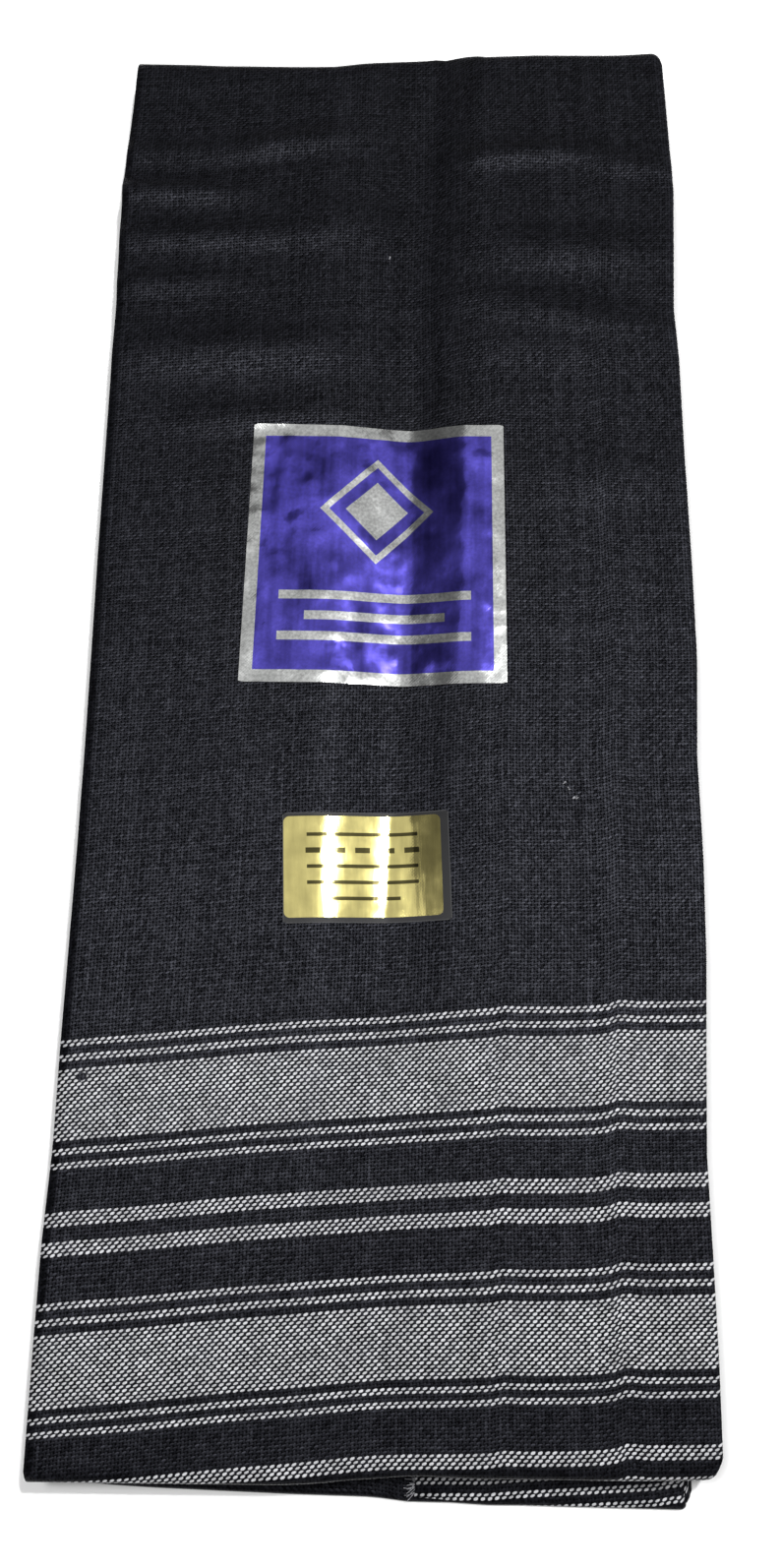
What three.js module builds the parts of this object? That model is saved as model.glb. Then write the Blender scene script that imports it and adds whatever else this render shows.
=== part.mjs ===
// A folded turban cloth. One long woven cloth is laid in four plies across its width, which makes a flat
// band, and the band is folded to and fro along its length into an oblong pack. Its inner selvedge stops
// part of the way across, so every layer is three plies thick on the left and four on the right, with a
// valley along the pack where they meet. The front end of the cloth is tucked in under the front panel.
// Two foil stickers lie on the front panel.
// Millimetres, +Z up: X runs across the pack, Y along it towards the far end, and the pack lies on Z = 0.

import * as THREE from "three";

// Driving dimensions
const packWidth = 203; // the folded band, from one long edge to the other
const cornerRadius = 7; // round the right-hand corners, where the band's own long edge is a fold
const plyThickness = 0.333; // one thickness of cloth as it lies in the pack
const leftPlies = 3;
const rightPlies = 4;
const layerGap = 0.3; // air between two layers of the band where they lie close
const looseGap = 0.34; // more air between them on the left, where they lie loosely
const valleyFlat = 9; // from the middle of the selvedge's step left to where the layers begin to rise again
const valleyReach = 34; // from there left to where they lie loosely
const foldSoftness = 1.7; // how far a fold rolls out, as a share of its radius
const foldSteps = 5; // facets round one fold
const edgeRounding = 0.6; // how far in from a long edge the band has its full thickness
const edgeShare = 0.4; // the thickness at the very edge, as a share of the full one
const stickerThickness = 0.3;
const stickerGap = 0.35; // air under a sticker

// Each line across the band, in the order that the cloth meets them: a cut end, nine folds and a cut end.
// left, middle and right are the line's Y there. level is the layer that runs on from the line, counted
// from the floor, and leftIn and rightIn are how far that layer's long edges lie inside the pack's own.
const lines = [
  { name: "tucked cut end", left: 148, middle: 153, right: 158, level: 8, leftIn: 2.0, rightIn: 4.0 },
  { name: "front fold", left: -248, middle: -248, right: -246.2, level: 9, leftIn: 0, rightIn: 0 },
  { name: "far fold 1", left: 244.7, middle: 247, right: 252, level: 7, leftIn: 1.5, rightIn: 2.5 },
  { name: "near fold 2", left: -244, middle: -246, right: -243, level: 6, leftIn: 0.8, rightIn: 1.0 },
  { name: "far fold 2", left: 242.5, middle: 243, right: 247, level: 5, leftIn: 2.2, rightIn: 3.5 },
  { name: "near fold 3", left: -245, middle: -244, right: -246.5, level: 4, leftIn: 1.0, rightIn: 1.8 },
  { name: "far fold 3", left: 244.5, middle: 248, right: 250, level: 3, leftIn: 1.8, rightIn: 3.0 },
  { name: "near fold 4", left: -243, middle: -247, right: -247.5, level: 2, leftIn: 0.6, rightIn: 4.6 },
  { name: "far fold 4", left: 243, middle: 245, right: 248.5, level: 1, leftIn: 1.2, rightIn: 7.5 },
  { name: "back fold", left: -249.8, middle: -253, right: -255, level: 0, leftIn: 1.6, rightIn: 8.5 },
  { name: "back cut end", left: 226, middle: 230, right: 232 },
];
const frontPanel = 1; // the layer from the front fold to the first far fold

// How far the two long edges lie to the right of straight at each Y. All the layers follow them.
const longEdges = [
  { y: -270, left: -1.2, right: -1.8 },
  { y: -160, left: -0.4, right: -1.4 },
  { y: -50, left: 0.6, right: 1.2 },
  { y: 30, left: 0.5, right: 2.2 },
  { y: 75, left: 0.3, right: 1.4 },
  { y: 135, left: 0.6, right: -0.4 },
  { y: 190, left: -0.8, right: 1.5 },
  { y: 270, left: 2.0, right: -0.8 },
];

// The inner selvedge, where a layer steps from three plies to four and a valley runs along the pack: its X
// at each Y, and half the width of the step, which spreads towards the near end.
const selvedge = [
  { y: -270, x: 9, ramp: 17 },
  { y: -60, x: 12, ramp: 9 },
  { y: 130, x: 14, ramp: 7 },
  { y: 270, x: 25, ramp: 9 },
];
const frontLoft = 0.9; // how far the front panel stands off the layer under it on both sides of the valley
const farSink = 0.7; // how far it sinks past the tucked end, as a share of the layer that is missing there

// Soft waves of the front panel: the middle of each, half its length and width, its turn from the X axis
// in degrees, and its height.
const waves = [
  { x: -78, y: 117, halfLength: 62, halfWidth: 16, turn: 3, height: 2.0 },
  { x: -74, y: 160, halfLength: 60, halfWidth: 15, turn: -2, height: 1.7 },
  { x: -82, y: 185, halfLength: 46, halfWidth: 9, turn: -1, height: 1.9 },
  { x: -36, y: 207, halfLength: 44, halfWidth: 13, turn: 9, height: 1.5 },
  { x: 62, y: 203, halfLength: 46, halfWidth: 13, turn: -3, height: 1.7 },
  { x: 70, y: 125, halfLength: 52, halfWidth: 20, turn: -6, height: 1.6 },
  { x: 74, y: 166, halfLength: 40, halfWidth: 14, turn: 4, height: 0.8 },
];

// The stickers: their middle, size, turn in degrees and corner radius.
const foilSticker = { x: -6, y: 43, width: 89.5, height: 96.5, turn: 0.3, corner: 0.4 };
const goldSticker = { x: -7, y: -68, width: 54, height: 36.5, turn: 0.4, corner: 2.2 };

// Where the band is cut into facets: X across it, and shares of a layer's length along it.
const columns = [-75, -50, -30, -16, -5, 5, 13, 21, 31, 50, 74];
const plainRows = [0, 0.08, 0.2, 0.35, 0.5, 0.65, 0.8, 0.92, 1];
const frontRows = [0, 0.08, 0.16, 0.24, 0.32, 0.4, 0.48, 0.56, 0.64, 0.7].concat(
  [0.725, 0.75, 0.775, 0.8, 0.825, 0.85, 0.87, 0.89, 0.91, 0.94, 0.97, 1],
);
const stickerRows = [-0.5, -0.25, 0, 0.25, 0.5];

const { lerp, smoothstep, degToRad } = THREE.MathUtils;

// A smooth hump, 1 at t = 0 and 0 from t = 1 on.
function hump(t) {
  return Math.abs(t) < 1 ? (1 + Math.cos(Math.PI * t)) / 2 : 0;
}

// A column of a table at Y.
function tableAt(table, y, column) {
  const next = table.findIndex((row) => row.y > y);
  const [a, b] = [table[next - 1], table[next]];
  return lerp(a[column], b[column], (y - a.y) / (b.y - a.y));
}

// The band's thickness.
function wallAt(x, y) {
  const middle = tableAt(selvedge, y, "x");
  const ramp = tableAt(selvedge, y, "ramp");
  return plyThickness * lerp(leftPlies, rightPlies, smoothstep(x, middle - ramp, middle + ramp));
}

// How loosely the layers lie, from 0 in the valley and right of it to 1 well to its left.
function looseShare(x, y) {
  const left = tableAt(selvedge, y, "x") - valleyFlat - x;
  return 1 - hump(Math.min(1, Math.max(0, left / valleyReach)));
}

// The air under each layer.
function gapAt(x, y) {
  return layerGap + looseGap * looseShare(x, y);
}

// A line's Y at X.
function lineY(line, x) {
  const t = x / (packWidth / 2);
  return lerp(line.middle, t < 0 ? line.left : line.right, Math.abs(t));
}

// How far the front panel stands above its flat level.
function frontRelief(x, y) {
  const middle = tableAt(selvedge, y, "x");
  const rightShare = smoothstep(x, middle, middle + 2 * tableAt(selvedge, y, "ramp"));
  const missing = wallAt(x, y) + gapAt(x, y);
  const sink = farSink * missing * smoothstep(y, lineY(lines[0], x), lineY(lines[2], x));
  let height = frontLoft * (looseShare(x, y) + rightShare) - sink;
  for (const wave of waves) {
    const turn = degToRad(wave.turn);
    const [dx, dy] = [x - wave.x, y - wave.y];
    const along = dx * Math.cos(turn) + dy * Math.sin(turn);
    const across = dy * Math.cos(turn) - dx * Math.sin(turn);
    height += wave.height * hump(along / wave.halfLength) * hump(across / wave.halfWidth);
  }
  return height;
}

// The height of a layer's underside.
function layerBase(layer, x, y) {
  const flat = lines[layer].level * (wallAt(x, y) + gapAt(x, y));
  return layer === frontPanel ? flat + frontRelief(x, y) : flat;
}

// A layer's columns, from its left edge to its right edge.
function layerColumns(layer) {
  const left = lines[layer].leftIn - packWidth / 2;
  const right = packWidth / 2 - lines[layer].rightIn;
  const corner = [cornerRadius, cornerRadius * 0.35, edgeRounding, 0];
  return [left, left + edgeRounding, ...columns, ...corner.map((inside) => right - inside)];
}

// How far a right-hand corner is rounded back at a distance from the layer's right edge.
function cornerBack(inside) {
  const t = Math.max(0, 1 - inside / cornerRadius);
  return cornerRadius * (1 - Math.sqrt(1 - t * t));
}

// A column's place on a line: its Y there, drawn back at a rounded corner.
function columnY(line, xs, c) {
  const isCut = line === lines[0] || line === lines[lines.length - 1];
  const back = isCut ? 0 : cornerBack(xs[xs.length - 1] - xs[c]);
  return lineY(line, xs[c]) - Math.sign(line.left) * back;
}

// A column's X at Y, which follows the pack's wavering long edges.
function columnX(x, y) {
  const share = x / packWidth + 0.5;
  return x + lerp(tableAt(longEdges, y, "left"), tableAt(longEdges, y, "right"), share);
}

// One place on the band: its outer and inner face, drawn together where it is a long edge.
function place(outer, inner, isEdge) {
  const draw = isEdge ? (1 - edgeShare) / 2 : 0;
  return [outer.clone().lerp(inner, draw), inner.clone().lerp(outer, draw)];
}

// The ring of places across a layer at a share of its length. Every other layer lies face down.
function layerRing(layer, share) {
  const xs = layerColumns(layer);
  return xs.map((x, c) => {
    const y = lerp(columnY(lines[layer], xs, c), columnY(lines[layer + 1], xs, c), share);
    const base = layerBase(layer, x, y);
    const under = new THREE.Vector3(columnX(x, y), y, base);
    const over = new THREE.Vector3(columnX(x, y), y, base + wallAt(x, y));
    const faceUp = layer % 2 === 1;
    return place(faceUp ? over : under, faceUp ? under : over, c === 0 || c === xs.length - 1);
  });
}

// The ring part of the way round the fold between a layer and the next one.
function foldRing(layer, step) {
  const share = step / foldSteps;
  const next = layerColumns(layer + 1);
  const xs = layerColumns(layer).map((x, c) => lerp(x, next[c], share));
  const line = lines[layer + 1];
  const downward = line.level < lines[layer].level;
  return xs.map((x, c) => {
    const y = columnY(line, xs, c);
    const bases = [layerBase(layer, x, y), layerBase(layer + 1, x, y)];
    const wall = wallAt(x, y);
    const middle = (bases[0] + bases[1] + wall) / 2;
    const innerRadius = (Math.abs(bases[0] - bases[1]) - wall) / 2;
    const [inner, outer] = [innerRadius, innerRadius + wall].map((radius) => {
      const out = Math.sign(line.left) * foldSoftness * radius * Math.sin(Math.PI * share);
      const rise = (downward ? 1 : -1) * radius * Math.cos(Math.PI * share);
      return new THREE.Vector3(columnX(x, y), y + out, middle + rise);
    });
    const faceOut = (layer % 2 === 1) === downward;
    return place(faceOut ? outer : inner, faceOut ? inner : outer, c === 0 || c === xs.length - 1);
  });
}

// A closed body from rings of [outer, inner] places. Facets are split the same way in layers that run to
// and fro, so that layers with one shape stay the same distance apart.
function bodyFromRings(rings) {
  const width = rings[0].length;
  const last = rings.length - 1;
  const points = rings.flat(2).flatMap((point) => point.toArray());
  const at = (ring, column, face) => (ring * width + column) * 2 + face;
  const faces = [];
  const quad = (a, b, c, d) => faces.push(a, b, c, a, c, d);
  for (let r = 0; r < last; r += 1) {
    const nearward = rings[r + 1][0][0].y < rings[r][0][0].y;
    const panel = (a, b, c, d) => (nearward ? quad(b, c, d, a) : quad(a, b, c, d));
    for (let c = 0; c < width - 1; c += 1) {
      panel(at(r, c, 0), at(r, c + 1, 0), at(r + 1, c + 1, 0), at(r + 1, c, 0));
      panel(at(r, c, 1), at(r + 1, c, 1), at(r + 1, c + 1, 1), at(r, c + 1, 1));
    }
    quad(at(r, 0, 0), at(r + 1, 0, 0), at(r + 1, 0, 1), at(r, 0, 1));
    const e = width - 1;
    quad(at(r, e, 0), at(r, e, 1), at(r + 1, e, 1), at(r + 1, e, 0));
  }
  for (let c = 0; c < width - 1; c += 1) {
    quad(at(0, c, 0), at(0, c, 1), at(0, c + 1, 1), at(0, c + 1, 0));
    quad(at(last, c, 0), at(last, c + 1, 0), at(last, c + 1, 1), at(last, c, 1));
  }
  const geometry = new THREE.BufferGeometry();
  geometry.setAttribute("position", new THREE.Float32BufferAttribute(points, 3));
  geometry.setIndex(faces);
  return geometry;
}

function makeCloth() {
  const rings = [];
  for (let layer = 0; layer < lines.length - 1; layer += 1) {
    const rows = layer === frontPanel ? frontRows : plainRows;
    rows.forEach((share) => rings.push(layerRing(layer, share)));
    for (let step = 1; step < foldSteps && layer < lines.length - 2; step += 1) {
      rings.push(foldRing(layer, step));
    }
  }
  return bodyFromRings(rings);
}

// A thin sticker that follows the front panel.
function makeSticker(sticker) {
  const { corner } = sticker;
  const half = sticker.width / 2;
  const turn = degToRad(sticker.turn);
  const inside = columns.map((x) => x - sticker.x).filter((x) => Math.abs(x) < half - corner - 1);
  const side = [half, half - corner * 0.3, half - corner];
  const xs = [...side.map((x) => -x), ...inside, ...side.reverse()];
  const rings = stickerRows.map((row) => xs.map((across) => {
    const t = Math.max(0, 1 - (half - Math.abs(across)) / corner);
    const along = row * (sticker.height - 2 * corner * (1 - Math.sqrt(1 - t * t)));
    const x = sticker.x + across * Math.cos(turn) - along * Math.sin(turn);
    const y = sticker.y + across * Math.sin(turn) + along * Math.cos(turn);
    const z = layerBase(frontPanel, x, y) + wallAt(x, y) + stickerGap;
    return [new THREE.Vector3(x, y, z + stickerThickness), new THREE.Vector3(x, y, z)];
  }));
  return bodyFromRings(rings);
}

const looks = {
  turban_cloth: { color: 0x2a2b2f, roughness: 0.85, metalness: 0 },
  foil_sticker: { color: 0x403b85, roughness: 0.3, metalness: 0.6 },
  gold_sticker: { color: 0xc6bd7b, roughness: 0.25, metalness: 0.8 },
};

const pack = new THREE.Group();
pack.name = "folded_turban";

function addMesh(name, geometry) {
  const mesh = new THREE.Mesh(geometry, new THREE.MeshStandardMaterial(looks[name]));
  mesh.name = name;
  pack.add(mesh);
}

addMesh("turban_cloth", makeCloth());
addMesh("foil_sticker", makeSticker(foilSticker));
addMesh("gold_sticker", makeSticker(goldSticker));

// The pack is centred on its own footprint.
const box = new THREE.Box3().setFromObject(pack);
const shift = box.getCenter(new THREE.Vector3()).negate();
pack.children.forEach((mesh) => mesh.geometry.translate(shift.x, shift.y, -box.min.z));

export default pack;
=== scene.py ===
import math
import bpy
import numpy as np
from mathutils import Matrix, Vector


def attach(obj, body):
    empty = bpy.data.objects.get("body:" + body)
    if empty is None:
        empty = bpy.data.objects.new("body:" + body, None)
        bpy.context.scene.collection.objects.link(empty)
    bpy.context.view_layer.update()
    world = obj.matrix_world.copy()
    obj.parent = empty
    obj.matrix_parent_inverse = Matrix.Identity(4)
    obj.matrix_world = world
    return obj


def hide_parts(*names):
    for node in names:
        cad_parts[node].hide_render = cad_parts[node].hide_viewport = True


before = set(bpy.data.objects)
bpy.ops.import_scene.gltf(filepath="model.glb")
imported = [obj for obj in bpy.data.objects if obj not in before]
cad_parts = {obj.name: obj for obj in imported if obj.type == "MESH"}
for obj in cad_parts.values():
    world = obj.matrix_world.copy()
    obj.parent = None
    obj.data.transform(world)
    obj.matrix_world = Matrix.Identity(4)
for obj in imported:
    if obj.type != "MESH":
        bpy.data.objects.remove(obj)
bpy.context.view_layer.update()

mm = 0.001

shot = {
    "place": (-0.0001, -0.1769, 0.4795),   # metres, in the part's frame
    "depression": 73.46,                   # degrees below level
    "yaw": -0.03,
    "roll": 0.694,
    "focalPixels": 1500.0,
    "imageHeight": 1594,
    "sensor": 36.0,                        # millimetres
    "nearest": 0.01,
}


def addObject(name, data):
    thing = bpy.data.objects.new(name, data)
    bpy.context.collection.objects.link(thing)
    return thing


def makeCamera(values):
    down, yaw, roll = (math.radians(values[key]) for key in ("depression", "yaw", "roll"))
    forward = np.array([math.sin(yaw) * math.cos(down), math.cos(yaw) * math.cos(down), -math.sin(down)])
    right = np.cross(forward, [0, 0, 1])
    right /= np.linalg.norm(right)
    up = np.cross(right, forward)
    rolledRight = right * math.cos(roll) + up * math.sin(roll)
    rolledUp = -right * math.sin(roll) + up * math.cos(roll)
    data = bpy.data.cameras.new("photoCamera")
    data.sensor_width = values["sensor"]
    data.lens = values["focalPixels"] / values["imageHeight"] * values["sensor"]
    data.clip_start = values["nearest"]
    camera = addObject("photoCamera", data)
    axes = np.eye(4)
    axes[:3, :3] = np.stack([rolledRight, rolledUp, -forward], axis=1)
    axes[:3, 3] = values["place"]
    camera.matrix_world = Matrix(axes.tolist())
    bpy.context.scene.camera = camera


makeCamera(shot)
print("camera placed")


# The folded cloth. Lengths are in millimetres, X across the pack and Y along it towards the far end.
cloth = {
    "shift": (-0.56, 1.05),        # from these tables to the part's own centre
    "packWidth": 203.0,
    "cornerRadius": 3.2,
    "plyPitch": 0.333,             # from one ply to the next
    "plyThickness": 0.2,
    "layerGap": 0.3,
    "looseGap": 0.34,              # more air between the layers left of the valley
    "valleyFlat": 6.0,
    "valleyReach": 34.0,
    "foldSoftness": 1.7,
    "sideRoll": 0.9,               # how far a long edge's own fold rolls out
    "innerFoldIn": 1.5,            # how far the inner pair of plies lies inside the outer pair
    "frontPanel": 1,
    "frontLoft": 0.9,
    "farSink": 0.7,
    "farSpan": (0, 90),            # Y in which the valley grows steeper
    "evenStep": 0.55,              # share of the selvedge's step that is an even slope
    "farEvenStep": 0.35,           # and what the far part adds to it
    "farLoft": 0.5,                # how much more the far part lifts at the right
    "valleyColumns": (-30, 43, 4.0),      # first, end and step, the same in every ply
    "fineColumns": (-98, -32, 6.0),       # left of the valley in the top ply
    "plainColumns": (-90, -31, 12.0),     # and in the other plies
    "kinkColumns": (47, 52, 57, 62, 67, 71, 73.5, 76, 80, 86, 91),    # right of it in the top ply
    "rightColumns": (54, 66, 78, 88),     # and in the other plies
    "lastColumns": (84, 72, 60, 50, 44, 40, 36, 34),    # of the last ply
    "cornerColumns": (2.4, 1.4, 0.6),     # back from a rounded right-hand corner
    "selvedgeColumn": 3,           # right of the step's middle
    "sideFoldSteps": 4,
    "frontRows": (78, 73),         # as far as the wavy part, and in it
    "wavyFrom": 0.67,              # share of the front panel's length
    "plainRows": 18,
    "foldRows": 5,
}
# left, middle and right Y of each line, the level that runs on from it, and how far its edges lie inside
foldLines = [
    ("tucked cut end", 148, 153, 158, 8, 2.0, 4.0),
    ("front fold", -248, -248, -246.2, 9, 0.0, 0.0),
    ("far fold 1", 244.7, 247, 252, 7, 1.5, 2.5),
    ("near fold 2", -244, -246, -243, 6, 0.8, 1.0),
    ("far fold 2", 242.5, 243, 247, 5, 2.2, 3.5),
    ("near fold 3", -245, -244, -246.5, 4, 1.0, 1.8),
    ("far fold 3", 244.5, 248, 250, 3, 1.8, 3.0),
    ("near fold 4", -243, -247, -247.5, 2, 0.6, 4.6),
    ("far fold 4", 243, 245, 248.5, 1, 1.2, 7.5),
    ("back fold", -249.8, -253, -255, 0, 1.6, 6.5),
    ("back cut end", 226, 230, 232, None, None, None),
]
lowestFold = len(foldLines) - 3    # the layer that ends in the back fold
# Y, then how far the left and right long edges lie to the right of straight
longEdges = np.array([
    (-270, -1.2, -3.0), (-214, -1.1, -2.6), (-186, -0.9, -2.9), (-157, 0.3, -3.3), (-127, 0.3, -2.0),
    (-96, 0.6, -0.5), (-64, 0.9, 0.1), (-30, 1.0, -0.3), (5, 0.8, 1.3), (41, 0.5, 1.1), (79, 0.4, 0.4),
    (119, 0.3, 0.1), (139, 0.4, -0.9), (160, -0.1, -0.1), (190, -0.5, 1.2), (225, 1.1, 0.2),
    (270, 2.4, -1.2),
], dtype=float)
# X along a fold line, and how far the line bends off there
lineBends = {
    "front fold": ((-15, 0.0), (0, 0.6), (12, 1.8), (40, 1.9), (60, 1.5), (75, 1.2), (101, 1.3)),
    "far fold 1": ((-101, -0.4), (-84, -1.3), (-68, -2.2), (-25, -2.0), (-8, 0.2), (2, 2.2), (15, 4.5),
                   (23, 3.4), (32, 0.2), (53, 0.3), (70, -0.4), (84, -0.9), (101, -0.3)),
    "back fold": ((-101, 0.0), (-90, -0.1), (-75, -1.0), (0, -1.0), (10, -1.9), (27, -1.7), (44, -1.3),
                  (70, -1.2), (101, -0.9)),
}
# Y, then the inner selvedge's X and half the width of the step that it makes
selvedge = np.array([
    (-270, 9, 17), (-60, 12, 11), (80, 15.5, 9.5), (190, 16.5, 8.5), (270, 27, 6),
], dtype=float)
# x, y, half length, half width, turn in degrees, height
softWaves = [
    (-60, 122, 60, 14, 3, 2.4), (-48, 95, 46, 9, 5, 1.0), (-85, 149, 36, 7, 3, 1.1),
    (-68, 169, 56, 9, 1, 1.9), (-84, 188.5, 40, 7, -1, 2.1), (-22, 176, 40, 17, -3, 1.2),
    (-43, 211, 38, 8, 10, 2.0), (-88, 206, 34, 7, 2, 1.1), (-74, 240, 44, 12, 0, 0.7),
    (46, 207, 40, 8, 5, 2.0), (86, 203, 30, 8, -8, 1.1), (66, 165, 50, 13, -2, 1.5),
    (62, 138, 52, 11, -8, 1.7), (66, 124, 54, 15, -3, 0.9), (74, 72, 40, 14, 0, 0.7),
    (72, -51, 36, 4, 0, 0.35), (-82, -51, 34, 4, 0, 0.3), (70, -25, 34, 4, 2, 0.3),
]


def smoothStep(x, low, high):
    t = np.clip((x - low) / (high - low), 0, 1)
    return t * t * (3 - 2 * t)


def hump(t):
    return np.where(np.abs(t) < 1, (1 + np.cos(np.pi * np.clip(t, -1, 1))) / 2, 0)


def selvedgeX(y):
    return np.interp(y, selvedge[:, 0], selvedge[:, 1])


def selvedgeRamp(y):
    return np.interp(y, selvedge[:, 0], selvedge[:, 2])


def farShare(y):
    return smoothStep(y, *cloth["farSpan"])


def wallAt(x, y):
    middle, ramp = selvedgeX(y), selvedgeRamp(y)
    even = np.clip((x - middle + ramp) / (2 * ramp), 0, 1)
    share = cloth["evenStep"] + cloth["farEvenStep"] * farShare(y)
    step = share * even + (1 - share) * smoothStep(x, middle - ramp, middle + ramp)
    return cloth["plyPitch"] * (3 + step)


def looseShare(x, y):
    left = selvedgeX(y) - cloth["valleyFlat"] - x
    return 1 - hump(np.clip(left / cloth["valleyReach"], 0, 1))


def gapAt(x, y):
    return cloth["layerGap"] + cloth["looseGap"] * looseShare(x, y)


def lineY(line, x):
    t = x / (cloth["packWidth"] / 2)
    side = np.where(t < 0, line[1], line[3])
    bend = np.array(lineBends.get(line[0], ((0, 0.0),)))
    return line[2] + (side - line[2]) * np.abs(t) + np.interp(x, bend[:, 0], bend[:, 1])


def frontRelief(x, y):
    ramp, far = selvedgeRamp(y), farShare(y)
    start = selvedgeX(y) - ramp * far
    rightShare = smoothStep(x, start, start + 2 * ramp) * (1 + cloth["farLoft"] * far)
    missing = wallAt(x, y) + gapAt(x, y)
    sink = cloth["farSink"] * missing * smoothStep(y, lineY(foldLines[0], x), lineY(foldLines[2], x))
    height = cloth["frontLoft"] * (looseShare(x, y) + rightShare) - sink
    for waveX, waveY, halfLength, halfWidth, turn, rise in softWaves:
        a = math.radians(turn)
        along = (x - waveX) * math.cos(a) + (y - waveY) * math.sin(a)
        across = (y - waveY) * math.cos(a) - (x - waveX) * math.sin(a)
        height = height + rise * hump(along / halfLength) * hump(across / halfWidth)
    return height


def layerBase(layer, x, y):
    flat = foldLines[layer][4] * (wallAt(x, y) + gapAt(x, y))
    return flat + frontRelief(x, y) if layer == cloth["frontPanel"] else flat


def layerEdges(layer):
    half = cloth["packWidth"] / 2
    return foldLines[layer][5] - half, half - foldLines[layer][6]


# A line's Y at X, drawn back at a rounded right-hand corner.
def columnY(lineIndex, x, right):
    line = foldLines[lineIndex]
    y = lineY(line, x)
    if lineIndex in (0, len(foldLines) - 1):
        return y
    radius = cloth["cornerRadius"]
    t = np.clip(1 - (right - x) / radius, 0, 1)
    return y - np.sign(line[1]) * radius * (1 - np.sqrt(1 - t * t))


def columnX(x, y):
    share = x / cloth["packWidth"] + 0.5
    left = np.interp(y, longEdges[:, 0], longEdges[:, 1])
    right = np.interp(y, longEdges[:, 0], longEdges[:, 2])
    return x + left + (right - left) * share


# The way across the cloth, through its four plies and the three folds between them. Each place is
# X = a * left + b * right + c, and stands off the band's underside by onWall * wall + off.
def makeWidthPath():
    pitch, thick, roll = cloth["plyPitch"], cloth["plyThickness"], cloth["sideRoll"]
    rows = []    # a, b, c, share of the selvedge's X, onWall, off, ply, and the face's step in X and in off

    def addPly(ply, columns, onWall, off, faceUp):
        for a, b, c in columns:
            rows.append((a, b, c, 0, onWall, off, ply, 0.0, thick / 2 * faceUp))

    def addSideFold(edge, middle, outward, ply):
        a, b, c = edge
        for k in range(1, cloth["sideFoldSteps"]):
            angle = math.pi * k / cloth["sideFoldSteps"]
            out, rise = math.sin(angle), math.cos(angle)
            rows.append((a, b, c + outward * roll * out, 0, 1, middle + pitch / 2 * rise, ply,
                         thick / 2 * out, outward * thick / 2 * rise))

    def corner(edge):
        return [(0, 1, edge - back) for back in cloth["cornerColumns"]] + [(0, 1, edge)]

    def fixed(columns):
        return [(0, 0, x) for x in columns]

    left = [(1, 0, 0)]
    leftIn = [(1, 0, roll)]
    outerRight, innerRight = corner(-roll), corner(-roll - cloth["innerFoldIn"])
    valley = (*np.arange(*cloth["valleyColumns"]),)
    fine = (*np.arange(*cloth["fineColumns"]), *valley, *cloth["kinkColumns"])
    plain = (*np.arange(*cloth["plainColumns"]), *valley, *cloth["rightColumns"])

    addPly(0, left + fixed(fine) + outerRight, 1, -0.5 * pitch, 1)
    addSideFold(outerRight[-1], -pitch, 1, 0.5)
    addPly(1, outerRight[::-1] + fixed(plain[::-1]) + leftIn, 1, -1.5 * pitch, -1)
    addSideFold(leftIn[0], -2 * pitch, -1, 1.5)
    addPly(2, leftIn + fixed(plain) + innerRight, 1, -2.5 * pitch, 1)
    addSideFold(innerRight[-1], -3 * pitch, 1, 2.5)
    addPly(3, innerRight[::-1] + fixed(cloth["lastColumns"]), 0, 0.5 * pitch, -1)
    # the last ply ends at the inner selvedge
    rows.append((0, 0, cloth["selvedgeColumn"], 1, 0, 0.5 * pitch, 3, 0.0, -thick / 2))
    return np.array(rows)


# The way along the cloth: (layer, share of its length, share of the fold after it).
def makeLengthPath():
    rows = []
    layers, foldSteps = len(foldLines) - 1, cloth["foldRows"] + 1
    for layer in range(layers):
        shares = np.linspace(0, 1, cloth["plainRows"] + 1)
        if layer == cloth["frontPanel"]:
            smooth, wavy = cloth["frontRows"]
            shares = np.append(np.linspace(0, cloth["wavyFrom"], smooth, endpoint=False),
                               np.linspace(cloth["wavyFrom"], 1, wavy))
        rows += [(layer, share, 0.0) for share in shares]
        if layer < layers - 1:
            rows += [(layer, 1.0, k / foldSteps) for k in range(1, foldSteps)]
    return rows


# One row of places across the cloth, on its face (side 1) or its back (side -1).
def clothRow(width, layer, share, foldShare, side):
    a, b, c, onSelvedge, onWall, off, _, faceX, faceOff = width.T
    faceUp = layer % 2 == 1
    left, right = layerEdges(layer)
    if foldShare > 0:
        nextLeft, nextRight = layerEdges(layer + 1)
        left = left + (nextLeft - left) * foldShare
        right = right + (nextRight - right) * foldShare
    x = a * left + b * right + c + side * faceX
    y = columnY(layer, x, right) * (1 - share) + columnY(layer + 1, x, right) * share
    x = x + onSelvedge * selvedgeX(y)
    wall = wallAt(x, y)
    rise = onWall * wall + off + side * faceOff
    here = layerBase(layer, x, y)
    if foldShare == 0:
        return np.stack([columnX(x, y), y, here + (rise if faceUp else wall - rise)], axis=1)
    there = layerBase(layer + 1, x, y)
    downward = foldLines[layer + 1][4] < foldLines[layer][4]
    middle = (here + there + wall) / 2
    radius = (np.abs(here - there) - wall) / 2 + (rise if faceUp == downward else wall - rise)
    angle = math.pi * foldShare
    out = math.copysign(1, foldLines[layer + 1][1]) * cloth["foldSoftness"] * radius * math.sin(angle)
    up = (1 if downward else -1) * radius * math.cos(angle)
    return np.stack([columnX(x, y), y + out, middle + up], axis=1)


def toPart(points):
    return (points + np.array([*cloth["shift"], 0.0])) * mm


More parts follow.
